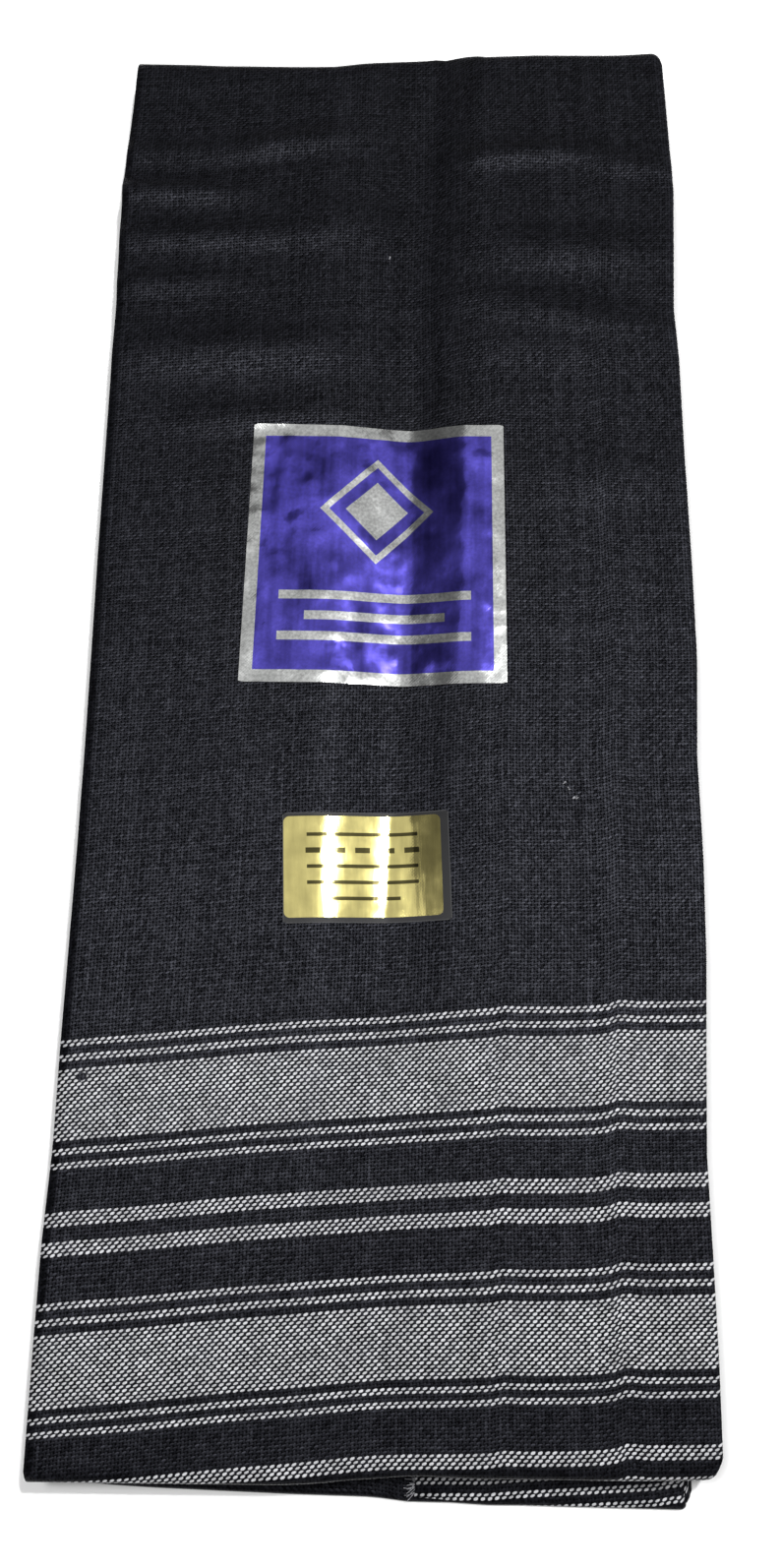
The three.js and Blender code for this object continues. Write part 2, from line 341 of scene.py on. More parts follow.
weave = {
    "endPitch": 1.052,             # from one warp thread to the next
    "pickPitch": 1.068,            # from one weft thread to the next
    "stripePicks": (2, 2, 2, 2, 20, 2, 2, 2, 2, 12, 4, 4, 4, 12),    # white and black in turn, outwards
    "picksToBackFold": 107,        # from the back end's first stripe to the back fold
    "rightSpread": 0.01,           # the picks lie a little wider apart at the right
    "spreadSpan": (0, 40),         # X in which they do so more and more
    "selvedgeAt": 12,              # about the inner selvedge's X
}
# millimetres outwards from the first stripe, and the picks woven in them
pickPlaces = np.array([
    (0.2, 0), (9.3, 8), (31.1, 28), (39.5, 36), (51.9, 48), (56.4, 52), (60.5, 56), (65.0, 60), (77.8, 72),
    (86.7, 80), (107.3, 100), (114.9, 108), (127.2, 120), (141.0, 133),
], dtype=float)
# X, then the Y of the front end's first stripe there
stripeLine = np.array([
    (-104, -125.2), (-95, -124.0), (-73, -122.2), (-43, -119.1), (-12, -116.6), (18, -114.3), (35, -112.9),
    (38, -112.2), (44, -112.4), (60, -112.1), (70, -111.5), (74, -109.8), (80, -110.3), (95, -110.0),
    (104, -109.6),
], dtype=float)


def backFoldRow(length):
    rows = [k for k, row in enumerate(length) if row[0] == lowestFold and row[2] > 0]
    return rows[len(rows) // 2]


# Where each place lies in the weave: threads across the cloth, and picks outwards from the first stripe.
def weaveCoordinates(width, length, middles):
    a, b, c, onSelvedge, _, off, ply = width.T[:7]
    half = cloth["packWidth"] / 2
    x = -a * half + b * half + c + onSelvedge * weave["selvedgeAt"]
    across = np.concatenate([[0], np.cumsum(np.hypot(np.diff(x), np.diff(off)))])

    def stripeY(at):
        return np.interp(at, stripeLine[:, 0], stripeLine[:, 1])

    # the stripes run on over each side fold at the same slant
    slant = (stripeY(half) - stripeY(-half)) / (2 * half)
    rise = np.where(ply[1:] == 0, np.diff(stripeY(x)), slant * np.abs(np.diff(x)))
    first = stripeY(x[0]) + np.concatenate([[0], np.cumsum(rise)])
    steps = np.linalg.norm(np.diff(middles, axis=0), axis=2)
    along = np.concatenate([np.zeros((1, len(width))), np.cumsum(steps, axis=0)])
    frontPanel = cloth["frontPanel"]
    front = [k for k, row in enumerate(length) if row[0] == frontPanel and row[2] == 0]
    for column in range(len(width)):
        along[:, column] -= np.interp(0, middles[front, column, 1], along[front, column])
    # behind the front panel the picks settle: along the back fold, but for the last ply's own slant
    settled = np.array([np.clip(layer - frontPanel - 1 + share, 0, 1) for layer, share, _ in length])[:, None]
    edge = along[backFoldRow(length)]
    along = along + (edge[-1] - edge) * settled
    inner = first[ply == 3][0] - slant * (half - np.maximum(x, 0))
    first = first + (np.where(ply < 3, inner, first) - first) * settled
    spread = 1 + weave["rightSpread"] * smoothStep(x, *weave["spreadSpan"]) * (1 - settled)
    outward = (first - along) / spread
    picks = np.interp(outward, pickPlaces[:, 0], pickPlaces[:, 1])
    before, after = pickPlaces[0], pickPlaces[-1]
    picks = np.where(outward < before[0], (outward - before[0]) / weave["pickPitch"] + before[1], picks)
    picks = np.where(outward > after[0], (outward - after[0]) / weave["pickPitch"] + after[1], picks)
    # and the ends keep their pitch, whatever the layer's width
    rowSteps = np.linalg.norm(np.diff(middles, axis=1), axis=2)
    own = np.concatenate([np.zeros((len(length), 1)), np.cumsum(rowSteps, axis=1)], axis=1)
    threads = (across + (own - across) * settled) / weave["endPitch"]
    return threads, picks, across, along


# The four-sided faces of a sheet with thickness: its face, its back and then its edges.
def wallQuads(rows, columns):
    face = np.arange(rows * columns).reshape(rows, columns)
    back = face + rows * columns
    quads = (
        (face[:-1, :-1], face[:-1, 1:], face[1:, 1:], face[1:, :-1]),
        (back[:-1, :-1], back[1:, :-1], back[1:, 1:], back[:-1, 1:]),
        (face[:-1, 0], face[1:, 0], back[1:, 0], back[:-1, 0]),
        (face[:-1, -1], back[:-1, -1], back[1:, -1], face[1:, -1]),
        (face[0, :-1], back[0, :-1], back[0, 1:], face[0, 1:]),
        (face[-1, :-1], face[-1, 1:], back[-1, 1:], back[-1, :-1]),
    )
    return [np.stack([corner.ravel() for corner in quad], axis=1) for quad in quads]


def makeCloth():
    width = makeWidthPath()
    length = makeLengthPath()
    faces = np.array([clothRow(width, *row, 1) for row in length])
    backs = np.array([clothRow(width, *row, -1) for row in length])
    points = toPart(np.concatenate([faces.reshape(-1, 3), backs.reshape(-1, 3)]))
    polygons = np.concatenate(wallQuads(len(length), len(width)))
    piece = meshPiece("turbanCloth", points, polygons)

    threads, picks, across, along = weaveCoordinates(width, length, (faces + backs) / 2)
    inWeave = np.stack([np.tile(threads.ravel(), 2), np.tile(picks.ravel(), 2)], axis=1)
    addUvMap(piece, "Weave", inWeave[polygons])
    lastPly = np.flatnonzero(width[:, 6] == 3)
    atBackFold = picks[backFoldRow(length), lastPly[len(lastPly) // 2]]
    piece["plainPicks"] = 2 * round((-atBackFold - weave["picksToBackFold"]) / 2)
    addUvMap(piece, "OFBake", bakeLayout(width, length, across, along[:, 0]))
    return piece


def meshPiece(name, points, polygons):
    mesh = bpy.data.meshes.new(name)
    mesh.vertices.add(len(points))
    mesh.vertices.foreach_set("co", points.astype(np.float32).ravel())
    mesh.loops.add(polygons.size)
    mesh.loops.foreach_set("vertex_index", polygons.astype(np.int32).ravel())
    mesh.polygons.add(len(polygons))
    mesh.polygons.foreach_set("loop_start", np.arange(0, polygons.size, 4, dtype=np.int32))
    mesh.polygons.foreach_set("loop_total", np.full(len(polygons), 4, dtype=np.int32))
    mesh.update(calc_edges=True)
    mesh.shade_smooth()
    return addObject(name, mesh)


def addUvMap(piece, name, corners):
    layer = piece.data.uv_layers.new(name=name, do_init=False)
    layer.data.foreach_set("uv", corners.astype(np.float32).ravel())


# The bake map: the front panel and its folds take nearly half of the picture, the back a third, and the
# hidden layers the rest. Each row says where a part starts and ends across it.
bakeMap = {
    "front": (0.005, 0.455),
    "backStrip": (0.465, 0.575),
    "back": (0.585, 0.775),
    "hiddenFace": (0.785, 0.885),
    "hiddenBack": (0.89, 0.99),
    "sideEdges": ((0.9925, 0.9945), (0.9965, 0.9985)),
    "endEdges": ((0.002, 0.005), (0.008, 0.011)),    # these lie across it, below the rest
    "endWidth": (0.01, 0.91),
    "upright": (0.015, 0.985),
}


def bakeLayout(width, length, across, along):
    ply = width[:, 6]
    layer = np.array([row[0] for row in length])
    inFold = np.array([row[2] > 0 for row in length])
    lastRow, lastColumn = len(length) - 1, len(width) - 1
    faceOrder, backOrder = "abcd", "adcb"

    def span(values, low, high, ends):
        return ends[0] + (values - values[low]) / (values[high] - values[low]) * (ends[1] - ends[0])

    def quadCorners(u, v, order):
        grid = np.stack(np.meshgrid(u, v), axis=2)
        pick = {"a": grid[:-1, :-1], "b": grid[:-1, 1:], "c": grid[1:, 1:], "d": grid[1:, :-1]}
        return np.stack([pick[k] for k in order], axis=2)

    def rowsOf(panel):
        rows = np.flatnonzero((layer == panel) | ((layer == panel - 1) & inFold))
        return rows[0] - 1, min(lastRow, rows[-1] + 1)

    def place(target, rows, columns, ends, order):
        area = slice(*rows), slice(*columns)
        u, v = span(across, *columns, ends), span(along, *rows, bakeMap["upright"])
        target[area] = quadCorners(u, v, order)[area]

    wholeV = span(along, 0, lastRow, bakeMap["upright"])
    face = quadCorners(span(across, 0, lastColumn, bakeMap["hiddenFace"]), wholeV, faceOrder)
    back = quadCorners(span(across, 0, lastColumn, bakeMap["hiddenBack"]), wholeV, backOrder)
    frontColumns = 0, np.flatnonzero(ply == 0)[-1] + 2
    place(face, rowsOf(cloth["frontPanel"]), frontColumns, bakeMap["front"], faceOrder)
    backRows = rowsOf(lowestFold + 1)
    place(face, backRows, (np.flatnonzero(ply == 2.5)[1], lastColumn), bakeMap["backStrip"], faceOrder)
    backColumns = np.flatnonzero(ply == 1.5)[1], np.flatnonzero(ply == 2)[-1]
    place(back, backRows, backColumns, bakeMap["back"], backOrder)
    wholeU = span(across, 0, lastColumn, bakeMap["endWidth"])
    edgeOrders = backOrder, faceOrder
    edges = [quadCorners(ends, wholeV, order) for ends, order in zip(bakeMap["sideEdges"], edgeOrders)]
    edges += [quadCorners(wholeU, ends, order) for ends, order in zip(bakeMap["endEdges"], edgeOrders)]
    return np.concatenate([part.reshape(-1, 4, 2) for part in (face, back, *edges)])


turbanCloth = makeCloth()
print("cloth folded:", len(turbanCloth.data.polygons), "faces")


noiseSpan = (0.3, 0.7)    # where most values of a noise texture lie


# A small helper for node trees: each call adds a node, and numbers or sockets go to its inputs in order.
class Nodes:
    def __init__(self, tree):
        self.tree = tree

    def add(self, kind, *inputs, **settings):
        node = self.tree.nodes.new(kind)
        for key, value in settings.items():
            setattr(node, key, value)
        for socket, value in zip(node.inputs, inputs):
            self.put(value, socket)
        return node

    def put(self, value, socket):
        if isinstance(value, bpy.types.NodeSocket):
            self.tree.links.new(value, socket)
        elif value is not None:
            socket.default_value = value

    def math(self, operation, *inputs):
        return self.add("ShaderNodeMath", *inputs, operation=operation).outputs[0]

    def square(self, value, unit):
        return self.math("POWER", self.math("ABSOLUTE", self.math("DIVIDE", value, unit)), 2.0)

    def scaled(self, vector, share):
        node = self.add("ShaderNodeVectorMath", vector, operation="SCALE")
        self.put(share, node.inputs["Scale"])
        return node.outputs[0]

    def mixColor(self, share, first, second):
        node = self.add("ShaderNodeMix", data_type="RGBA")
        for name, value in (("Factor_Float", share), ("A_Color", first), ("B_Color", second)):
            self.put(value, next(i for i in node.inputs if i.identifier == name))
        return next(o for o in node.outputs if o.identifier == "Result_Color")

    def rescale(self, value, span, newSpan, kind="LINEAR"):
        return self.add("ShaderNodeMapRange", value, *span, *newSpan, interpolation_type=kind).outputs[0]

    def smooth(self, value, low, high):
        return self.rescale(value, (low, high), (0.0, 1.0), "SMOOTHSTEP")

    def noise(self, place, scale, detail=2.0):
        place = self.add("ShaderNodeVectorMath", place, (*scale, 1.0), operation="MULTIPLY").outputs[0]
        return self.add("ShaderNodeTexNoise", place, None, 1.0, detail).outputs[0]

    def uvMap(self, name):
        uv = self.add("ShaderNodeUVMap", uv_map=name).outputs[0]
        split = self.add("ShaderNodeSeparateXYZ", uv)
        return uv, split.outputs[0], split.outputs[1]

    def bump(self, shader, height, strength, distance):
        node = self.add("ShaderNodeBump")
        for name, value in (("Strength", strength), ("Distance", distance), ("Height", height)):
            self.put(value, node.inputs[name])
        self.put(node.outputs[0], shader.inputs["Normal"])


def newMaterial(name):
    material = bpy.data.materials.new(name)
    material.use_nodes = True
    return material, Nodes(material.node_tree), material.node_tree.nodes["Principled BSDF"]


yarn = {
    "black": (0.0042, 0.0043, 0.0058),
    "shine": (0.62, 0.64, 0.76),
    "white": (0.59, 0.59, 0.612),
    "gapShade": 0.2,               # painted shade: brightness between the threads
    "dashHalfLength": 0.75,        # of a thread on top of the weave, in pitches
    "dashHalfHeight": 0.43,
    "dashHeights": (0.82, 1.12),   # shares of that, from one dash to another
    "dashSlant": 0.23,             # the yarn's twist turns each dash a little
    "dashRound": 0.85,             # height at which a dash is fully lit
    "topBlend": 0.45,              # softness of the change from weft to warp
    "missedPick": (7.0, 10.5),     # thread and pick of one small flaw in the first wide stripe
    "flawSize": (1.7, 1.3),
    "flawEdge": (0.6, 1.1),
    # brightness from one thread to another, along a thread and from one dash to another
    "weftTones": (0.65, 1.15), "weftDrift": (-0.3, 0.65), "weftScale": (0.3, 0.9),
    "warpTones": (0.5, 1.0), "warpDrift": (-0.25, 0.5), "warpScale": (0.9, 0.22),
    "driftSpan": (0.35, 0.7),
    "dashTones": (0.75, 1.25),
    # soft patches and bands of the black, then specks, dashes and patches of the white
    "patches": (0.93, 1.07), "patchScale": (0.07, 0.05),
    "bands": (0.9, 1.1), "bandScale": (0.11, 0.012),
    "whiteSpecks": (0.72, 1.1), "speckScale": (1.7, 1.7), "speckSpan": (0.25, 0.75),
    "whiteDashes": (0.78, 1.08),
    "whitePatches": (0.8, 1.08), "whitePatchScale": (0.1, 0.05),
    "bumpStrength": 0.45, "bumpHeight": 0.0002,
    "roughness": (0.75, 0.44),     # between the threads and on them
    "specular": 0.2, "sheen": 0.01, "sheenRoughness": 0.4,
}


def makeWeaveMaterial(plainPicks):
    material, nodes, shader = newMaterial("blackViscoseWeave")
    calc, rescale = nodes.math, nodes.rescale
    unit = (0.0, 1.0)
    uv, end, pick = nodes.uvMap("Weave")
    endIndex, pickIndex = calc("FLOOR", end), calc("FLOOR", pick)

    # A weft thread lies on top where thread and pick numbers add up even, and a warp thread elsewhere.
    # along and across are measured from the middle of the dash that it shows there.
    def dash(position, index, crossIndex, shift, slant):
        parity = calc("FLOORED_MODULO", crossIndex, 2.0)
        start = calc("SUBTRACT", position, calc("SUBTRACT", parity, shift))
        along = calc("SUBTRACT", calc("FLOORED_MODULO", start, 2.0), 1.0)
        number = calc("FLOOR", calc("DIVIDE", start, 2.0))
        place = nodes.add("ShaderNodeCombineXYZ", number, crossIndex, index).outputs[0]
        chance = nodes.add("ShaderNodeTexWhiteNoise", place, noise_dimensions="3D").outputs[0]
        off = calc("SUBTRACT", pick if slant else end, calc("ADD", crossIndex, 0.5))
        across = calc("ADD", off, calc("MULTIPLY", along, slant))
        halfHeight = rescale(chance, unit, [yarn["dashHalfHeight"] * share for share in yarn["dashHeights"]])
        outward = calc("ADD", nodes.square(along, yarn["dashHalfLength"]), nodes.square(across, halfHeight))
        return calc("SUBTRACT", 1.0, outward), chance

    weft, weftChance = dash(end, 0.0, pickIndex, 0.5, yarn["dashSlant"])
    warp, warpChance = dash(pick, 1.0, endIndex, -0.5, 0.0)
    height = calc("SQRT", calc("MAXIMUM", calc("MAXIMUM", weft, warp), 0.0))
    weftOnTop = nodes.smooth(calc("SUBTRACT", weft, calc("MAXIMUM", warp, 0.0)),
                             -yarn["topBlend"], yarn["topBlend"])

    # Picks are counted outwards from the first stripe of whichever end is nearer.
    fromBack = calc("SUBTRACT", calc("MULTIPLY", pickIndex, -1.0), plainPicks + 1.0)
    outward = calc("MAXIMUM", pickIndex, fromBack)
    repeat = float(sum(weave["stripePicks"]))
    place = calc("DIVIDE", calc("FLOORED_MODULO", calc("ADD", outward, 0.5), repeat), repeat)
    ramp = nodes.add("ShaderNodeValToRGB", place)
    ramp.color_ramp.interpolation = "CONSTANT"
    stops = ramp.color_ramp.elements
    start = 0
    for k, count in enumerate(weave["stripePicks"]):
        stop = stops[k] if k < 2 else stops.new(start / repeat)
        stop.position = start / repeat
        stop.color = (1, 1, 1, 1) if k % 2 == 0 else (0, 0, 0, 1)
        start += count
    fromFlaw = [nodes.square(calc("SUBTRACT", value, middle), size)
                for value, middle, size in zip((end, pick), yarn["missedPick"], yarn["flawSize"])]
    whole = nodes.smooth(calc("ADD", *fromFlaw), *yarn["flawEdge"])
    striped = calc("MULTIPLY", ramp.outputs[0], calc("GREATER_THAN", outward, -0.5))
    striped = calc("MULTIPLY", striped, whole)

    # Threads differ from one to the next and along their length, and the cloth in broad soft patches.
    def threadTone(kind, index, chance):
        tone = nodes.add("ShaderNodeTexWhiteNoise", None, index, noise_dimensions="1D").outputs[0]
        drift = rescale(nodes.noise(uv, yarn[kind + "Scale"]), yarn["driftSpan"], yarn[kind + "Drift"])
        tone = calc("ADD", rescale(tone, unit, yarn[kind + "Tones"]), drift)
        return calc("MULTIPLY", tone, rescale(chance, unit, yarn["dashTones"]))

    weftTone = threadTone("weft", pickIndex, weftChance)
    warpTone = threadTone("warp", endIndex, warpChance)
    blackTone = calc("ADD", calc("MULTIPLY", weftTone, weftOnTop),
                     calc("MULTIPLY", warpTone, calc("SUBTRACT", 1.0, weftOnTop)))
    broad = calc("MULTIPLY", rescale(nodes.noise(uv, yarn["patchScale"], 3.0), noiseSpan, yarn["patches"]),
                 rescale(nodes.noise(uv, yarn["bandScale"]), noiseSpan, yarn["bands"]))
    specks = nodes.noise(uv, yarn["speckScale"], 3.0)
    whiteTone = calc("MULTIPLY", rescale(specks, yarn["speckSpan"], yarn["whiteSpecks"]),
                     rescale(weftChance, unit, yarn["whiteDashes"]))
    whiteTone = calc("MULTIPLY", whiteTone,
                     rescale(nodes.noise(uv, yarn["whitePatchScale"]), noiseSpan, yarn["whitePatches"]))
    # Painted shade: the colour of the black and the white threads darkens towards each dash's edges and in
    # the gaps between threads.
    paintedThreadShade = rescale(nodes.smooth(height, 0.0, yarn["dashRound"]), unit, (yarn["gapShade"], 1.0))
    toneAndShade = calc("MULTIPLY", calc("MULTIPLY", blackTone, broad), paintedThreadShade)    # random thread tone times the painted shade; bright threads shine most
    white = nodes.scaled(yarn["white"], calc("MULTIPLY", whiteTone, paintedThreadShade))
    color = nodes.mixColor(calc("MULTIPLY", striped, weftOnTop), nodes.scaled(yarn["black"], toneAndShade), white)
    nodes.put(color, shader.inputs["Base Color"])
    nodes.bump(shader, height, yarn["bumpStrength"], yarn["bumpHeight"])
    nodes.put(nodes.scaled(yarn["shine"], toneAndShade), shader.inputs["Specular Tint"])
    nodes.put(rescale(paintedThreadShade, unit, yarn["roughness"]), shader.inputs["Roughness"])
    shader.inputs["Specular IOR Level"].default_value = yarn["specular"]
    shader.inputs["Sheen Weight"].default_value = yarn["sheen"]
    shader.inputs["Sheen Roughness"].default_value = yarn["sheenRoughness"]
    return material


turbanCloth.data.materials.append(makeWeaveMaterial(turbanCloth["plainPicks"]))
print("weave drawn")


# Stickers on the front panel, in millimetres.
sticker = {
    "thickness": 0.12, "lift": 0.06,
    "crinkles": 14, "crinkleLengths": (5, 18),
    "bumpDistance": 0.0001,
}
foilSticker = {
    "x": -6.25, "y": 43.0, "width": 90.0, "height": 96.5, "turn": 0.3, "corner": 0.4,
    "lean": 2.4,    # how far its top left corner lies in from square
    "cells": (60, 64), "crinkle": 0.07, "seed": 3,
    "rim": 4.4,     # silver frame
    # middle Y, half width, share of it that is silver
    "lozenges": ((16.0, 20.0, 0.16), (16.0, 11.0, 1.0)),
    # middle Y, half width, half height
    "rules": ((-16.5, 33.0, 1.6), (-24.0, 24.0, 1.6), (-31.5, 33.0, 1.6)),
    "purple": (0.1, 0.083, 0.49), "silver": (0.6, 0.61, 0.6),
    # scale of each pattern, then how it darkens and brightens the purple and the silver
    "blotchScale": (0.055, 0.045), "blotchSpan": (0.35, 0.68),
    "blotches": (0.38, 1.5), "silverBlotches": (0.8, 1.1),
    "streakScale": (0.35, 0.012), "streaks": (-0.15, 0.2),
    "pitScale": (0.9, 0.9), "pits": (0.85, 1.1), "silverPits": (0.72, 1.12),
    "roughness": (0.1, 0.2), "hazeScale": (0.13, 0.09),
    "bumpStrength": 0.28, "dents": 0.13, "creases": 3.0, "creaseScale": (0.3, 0.22),
}
goldSticker = {
    "x": -7.0, "y": -68.0, "width": 54.0, "height": 36.5, "turn": 2.2, "corner": 0.6,
    "lean": 0.0, "cells": (44, 32), "crinkle": 0.008, "seed": 5,
    "margin": 1.5, "printShift": (-1.2, 0.3), "printCorner": 2.0,    # gold print on its clear film
    # middle Y, half width, half height
    "rules": ((10.6, 18.0, 0.6), (0.0, 18.0, 0.6), (-5.3, 18.0, 0.6), (-10.6, 12.0, 0.6)),
    "dashes": (5.3, 0.9, 8.0, 2.4, 5),    # middle Y, half height, spacing, half width and number
    "ink": (0.1, 0.088, 0.035),
    # The film's lighter edge colour is a painted highlight along its cut edge.
    "gold": (0.82, 0.72, 0.28), "film": (0.007, 0.007, 0.008), "edgeHighlight": (0.035, 0.035, 0.037),
    "highlightWidth": 0.3,
    "brushScale": (0.5, 0.06), "brushing": (0.88, 1.08),
    "mottleScale": (0.12, 0.12), "mottle": (0.88, 1.1),
    "filmRoughness": 0.4, "goldSmoothness": (0.358, 0.325), "specular": 0.12,
    "bumpStrength": 0.12, "dents": 0.05,
}


def makeSticker(name, values):
    across, along = values["cells"]
    halfW, halfH, corner = values["width"] / 2, values["height"] / 2, values["corner"]
    u, v = np.meshgrid(np.linspace(-1, 1, across + 1), np.linspace(-1, 1, along + 1))
    flatX = u * halfW
    t = np.clip(1 - (halfW - np.abs(flatX)) / corner, 0, 1)
    flatY = v * (halfH - corner * (1 - np.sqrt(1 - t * t)))
    leaning = flatX + values["lean"] * (1 + v) / 2 * (1 - u) / 2
    a = math.radians(values["turn"])
    x = values["x"] + leaning * math.cos(a) - flatY * math.sin(a)
    y = values["y"] + leaning * math.sin(a) + flatY * math.cos(a)
    rng = np.random.default_rng(values["seed"])
    crinkle = np.zeros_like(x)
    shortest, longest = sticker["crinkleLengths"]
    for _ in range(sticker["crinkles"]):
        angle = rng.uniform(0, math.pi)
        size = rng.uniform(shortest, longest)
        phase = rng.uniform(0, 2 * math.pi)
        ahead = x * math.cos(angle) + y * math.sin(angle)
        crinkle += np.sin(ahead / size * 2 * math.pi + phase) * size / longest
    base = layerBase(cloth["frontPanel"], x, y) + wallAt(x, y) + sticker["lift"]
    low = base + values["crinkle"] * np.maximum(0, crinkle)
    under = np.stack([x, y, low], axis=2)
    over = np.stack([x, y, low + sticker["thickness"]], axis=2)
    polygons = np.concatenate(wallQuads(*x.shape))
    piece = meshPiece(name, toPart(np.concatenate([over.reshape(-1, 3), under.reshape(-1, 3)])), polygons)
    flat = np.tile(np.stack([flatX.ravel(), flatY.ravel()], axis=1), (2, 1))
    addUvMap(piece, "Sticker", flat[polygons])
    onRim = np.tile(((np.abs(u) == 1) | (np.abs(v) == 1)).ravel(), 2)
    for edge in piece.data.edges:
        edge.use_edge_sharp = bool(onRim[edge.vertices[0]] and onRim[edge.vertices[1]])
    return piece


foil = makeSticker("foilSticker", foilSticker)
gold = makeSticker("goldSticker", goldSticker)


# Dents that the threads below press into a sticker, one a thread.
def threadDents(nodes, x, y):
    waveX = nodes.math("SINE", nodes.math("MULTIPLY", x, 2 * math.pi / weave["endPitch"]))
    waveY = nodes.math("SINE", nodes.math("MULTIPLY", y, 2 * math.pi / weave["pickPitch"]))
    return nodes.math("MULTIPLY", waveX, waveY)


def nearEdge(nodes, x, y, values, reach):
    inX = nodes.math("SUBTRACT", values["width"] / 2, nodes.math("ABSOLUTE", x))
    inY = nodes.math("SUBTRACT", values["height"] / 2, nodes.math("ABSOLUTE", y))
    return nodes.math("LESS_THAN", nodes.math("MINIMUM", inX, inY), reach)


def rule(nodes, fromX, y, middleY, halfWidth, halfHeight):
    fromY = nodes.math("ABSOLUTE", nodes.math("SUBTRACT", y, middleY))
    inWidth, inHeight = nodes.math("LESS_THAN", fromX, halfWidth), nodes.math("LESS_THAN", fromY, halfHeight)
    return nodes.math("MULTIPLY", inWidth, inHeight)


def makeFoilMaterial(values):
    material, nodes, shader = newMaterial("purpleFoil")
    calc, rescale = nodes.math, nodes.rescale
    uv, x, y = nodes.uvMap("Sticker")
    fromX = calc("ABSOLUTE", x)
    silver = nearEdge(nodes, x, y, values, values["rim"])
    for middleY, size, line in values["lozenges"]:
        fromY = calc("ABSOLUTE", calc("SUBTRACT", y, middleY))
        around = calc("ADD", calc("DIVIDE", fromX, size), calc("DIVIDE", fromY, size))
        ring = calc("MULTIPLY", calc("LESS_THAN", around, 1.0), calc("GREATER_THAN", around, 1.0 - line))
        silver = calc("MAXIMUM", silver, ring)
    for row in values["rules"]:
        silver = calc("MAXIMUM", silver, rule(nodes, fromX, y, *row))

    blotches = nodes.noise(uv, values["blotchScale"], 3.0)
    streaks = nodes.noise(uv, values["streakScale"])
    pits = nodes.noise(uv, values["pitScale"], 3.0)
    brightness = calc("ADD", rescale(blotches, values["blotchSpan"], values["blotches"]),
                      rescale(streaks, noiseSpan, values["streaks"]))
    brightness = calc("MULTIPLY", brightness, rescale(pits, noiseSpan, values["pits"]))
    plain = calc("MULTIPLY", rescale(pits, noiseSpan, values["silverPits"]),
                 rescale(blotches, noiseSpan, values["silverBlotches"]))
    color = nodes.mixColor(silver, nodes.scaled(values["purple"], brightness),
                           nodes.scaled(values["silver"], plain))
    nodes.put(color, shader.inputs["Base Color"])
    shader.inputs["Metallic"].default_value = 1.0
    haze = nodes.noise(uv, values["hazeScale"], 4.0)
    nodes.put(rescale(haze, noiseSpan, values["roughness"]), shader.inputs["Roughness"])
    creases = calc("MULTIPLY", nodes.noise(uv, values["creaseScale"], 3.0), values["creases"])
    relief = calc("ADD", calc("MULTIPLY", threadDents(nodes, x, y), values["dents"]), creases)
    nodes.bump(shader, relief, values["bumpStrength"], sticker["bumpDistance"])
    return material


def makeGoldMaterial(values):
    material, nodes, shader = newMaterial("goldFoil")
    calc, rescale = nodes.math, nodes.rescale
    uv, x, y = nodes.uvMap("Sticker")
    radius = values["printCorner"]
    inset = values["margin"] + radius
    fromX = calc("ABSOLUTE", calc("SUBTRACT", x, values["printShift"][0]))
    upward = calc("SUBTRACT", y, values["printShift"][1])
    overX = calc("MAXIMUM", calc("SUBTRACT", fromX, values["width"] / 2 - inset), 0.0)
    overY = calc("MAXIMUM", calc("SUBTRACT", calc("ABSOLUTE", upward), values["height"] / 2 - inset), 0.0)
    far = calc("SQRT", calc("ADD", calc("MULTIPLY", overX, overX), calc("MULTIPLY", overY, overY)))
    printed = calc("LESS_THAN", far, radius)

    middleY, halfHeight, spacing, halfWidth, number = values["dashes"]
    nearest = calc("SNAP", calc("ADD", fromX, spacing / 2), spacing)
    fromDash = calc("ABSOLUTE", calc("SUBTRACT", fromX, nearest))
    ink = calc("MULTIPLY", rule(nodes, fromDash, upward, middleY, halfWidth, halfHeight),
               calc("LESS_THAN", fromX, spacing * number / 2))
    for row in values["rules"]:
        ink = calc("MAXIMUM", ink, rule(nodes, fromX, upward, *row))
    brushed = nodes.noise(uv, values["brushScale"], 3.0)
    mottle = nodes.noise(uv, values["mottleScale"], 3.0)
    tone = calc("MULTIPLY", rescale(brushed, noiseSpan, values["brushing"]),
                rescale(mottle, noiseSpan, values["mottle"]))
    inked = nodes.mixColor(ink, nodes.scaled(values["gold"], tone), (*values["ink"], 1))
    # Painted highlight: a thin lighter line all round the film's edge.
    onEdgeHighlight = nearEdge(nodes, x, y, values, values["highlightWidth"])
    film = nodes.mixColor(onEdgeHighlight, (*values["film"], 1), (*values["edgeHighlight"], 1))
    nodes.put(nodes.mixColor(printed, film, inked), shader.inputs["Base Color"])
    nodes.put(printed, shader.inputs["Metallic"])
    smoothness = calc("MULTIPLY", printed, rescale(mottle, noiseSpan, values["goldSmoothness"]))
    nodes.put(calc("SUBTRACT", values["filmRoughness"], smoothness), shader.inputs["Roughness"])
    shader.inputs["Specular IOR Level"].default_value = values["specular"]
    relief = calc("ADD", calc("MULTIPLY", threadDents(nodes, x, y), values["dents"]), brushed)
    nodes.bump(shader, relief, values["bumpStrength"], sticker["bumpDistance"])
    return material


foil.data.materials.append(makeFoilMaterial(foilSticker))
gold.data.materials.append(makeGoldMaterial(goldSticker))
print("stickers laid on")


